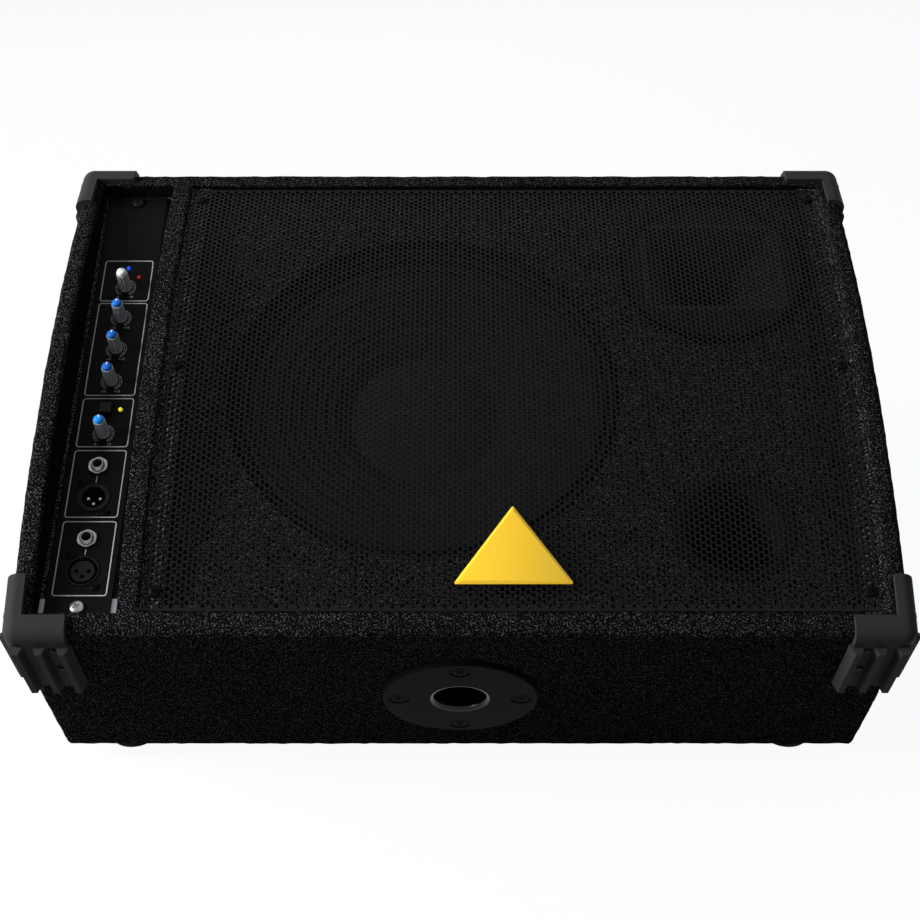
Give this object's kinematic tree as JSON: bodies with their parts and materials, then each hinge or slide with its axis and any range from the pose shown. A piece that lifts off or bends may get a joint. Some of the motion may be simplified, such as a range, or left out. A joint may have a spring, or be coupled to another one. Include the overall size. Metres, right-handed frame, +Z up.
{
  "type": "stage monitor loudspeaker",
  "caption": "Floor wedge stage monitor: carpet-covered cabinet with bowed perforated grille, side control panel, plastic corner guards and a pole socket in its end.",
  "frame": {"origin": "middle of the bounding box on the floor, under the rubber feet", "axes": "+X to the right seen from the front, where the controls are on the left; +Y to the back; +Z up"},
  "size_m": [0.595, 0.4392, 0.3735],
  "materials": {
    "board": "plain",
    "carpet": "fuzzy",
    "basket_metal": "satin",
    "surround_rubber": "matte",
    "cone_paper": "matte",
    "spider_cloth": "matte",
    "copper_coil": "varnished",
    "plated_steel": "plated",
    "ferrite": "matte",
    "black_screw": "satin",
    "black_plastic": "matte",
    "grille_metal": "satin",
    "badge_yellow": "gloss",
    "guard_plastic": "matte",
    "foot_rubber": "matte",
    "zinc_steel": "zinc",
    "panel_paint": "satin",
    "circuit_green": "lacquered",
    "bright_screw": "bright",
    "knob_plastic": "matte",
    "lamp_blue": "clear",
    "nickel": "plated",
    "black_aluminium": "anodised",
    "rocker_red": "gloss"
  },
  "bodies": {
    "cabinet": {"side_left": "board", "side_right": "board", "lower_end_board": "board", "floor_board": "board", "back_board": "board", "upper_end_board": "board", "divider_board": "board", "baffle_board": "board", "front_rails": "board", "carpet_covering": "carpet", "woofer_basket": "basket_metal", "woofer_surround": "surround_rubber", "woofer_spider": "spider_cloth", "woofer_front_plate": "plated_steel", "woofer_magnet": "ferrite", "woofer_pole_plate": "plated_steel", "driver_screws": "black_screw", "horn_flare": "black_plastic", "compression_driver": "basket_metal", "port_tube": "black_plastic", "pole_socket": "black_plastic", "pole_socket_screws": "black_screw", "grille": "grille_metal", "grille_screws": "black_screw", "badge": "badge_yellow", "guard_lower_left": "guard_plastic", "guard_lower_right": "guard_plastic", "guard_upper_left": "guard_plastic", "guard_upper_right": "guard_plastic", "guard_screws": "black_screw", "rubber_feet": "foot_rubber", "handle_pocket": "black_plastic", "case_screws": "black_screw", "amp_chassis": "zinc_steel", "control_panel": "panel_paint", "circuit_boards": "circuit_green", "panel_screws": "bright_screw", "pots_and_switch": "zinc_steel", "indicator_leds": "lamp_blue", "jack_sockets": "black_plastic", "jack_nuts": "nickel", "xlr_input_socket": "black_plastic", "xlr_input_insert": "black_plastic", "xlr_link_socket": "black_plastic", "xlr_screws": "black_screw", "connector_pins": "nickel", "rear_heat_sink": "black_aluminium", "power_inlet": "black_plastic", "switch_frame": "black_plastic", "mains_transformer": "copper_coil"},
    "cone": {"woofer_cone": "cone_paper", "woofer_dust_cap": "cone_paper", "woofer_voice_coil": "copper_coil"},
    "button": {"filter_button": "black_plastic"},
    "rocker": {"switch_rocker": "rocker_red"},
    "level_knob_body": {"level_knob": "knob_plastic"},
    "treble_knob_body": {"treble_knob": "knob_plastic"},
    "mid_knob_body": {"mid_knob": "knob_plastic"},
    "bass_knob_body": {"bass_knob": "knob_plastic"},
    "filter_knob_body": {"filter_knob": "knob_plastic"}
  },
  "joints": [
    {"name": "level_turn", "type": "hinge", "parent": "cabinet", "child": "level_knob_body", "pos_m": [-0.25, 0.042, 0.30944], "axis": [0, -0.5, 0.866], "range_deg": [-150, 150]},
    {"name": "treble_turn", "type": "hinge", "parent": "cabinet", "child": "treble_knob_body", "pos_m": [-0.25, 0.01688, 0.29494], "axis": [0, -0.5, 0.866], "range_deg": [-150, 150]},
    {"name": "mid_turn", "type": "hinge", "parent": "cabinet", "child": "mid_knob_body", "pos_m": [-0.25, -0.00806, 0.28054], "axis": [0, -0.5, 0.866], "range_deg": [-150, 150]},
    {"name": "bass_turn", "type": "hinge", "parent": "cabinet", "child": "bass_knob_body", "pos_m": [-0.25, -0.033, 0.26614], "axis": [0, -0.5, 0.866], "range_deg": [-150, 150]},
    {"name": "filter_turn", "type": "hinge", "parent": "cabinet", "child": "filter_knob_body", "pos_m": [-0.25, -0.07223, 0.24349], "axis": [0, -0.5, 0.866], "range_deg": [-150, 150]},
    {"name": "filter_press", "type": "slide", "parent": "cabinet", "child": "button", "axis": [0, 0.5, -0.866], "range_m": [0, 0.002], "stiffness_N_per_m": 600, "springref_m": -0.001},
    {"name": "power_rock", "type": "hinge", "parent": "cabinet", "child": "rocker", "pos_m": [-0.25, 0.15509, 0.10383], "axis": [1, 0, 0], "range_deg": [0, 18]},
    {"name": "cone_stroke", "type": "slide", "parent": "cabinet", "child": "cone", "axis": [0, -0.5, 0.866], "range_m": [-0.004, 0.004], "stiffness_N_per_m": 3000, "deforming": ["woofer_surround", "woofer_spider"]}
  ]
}
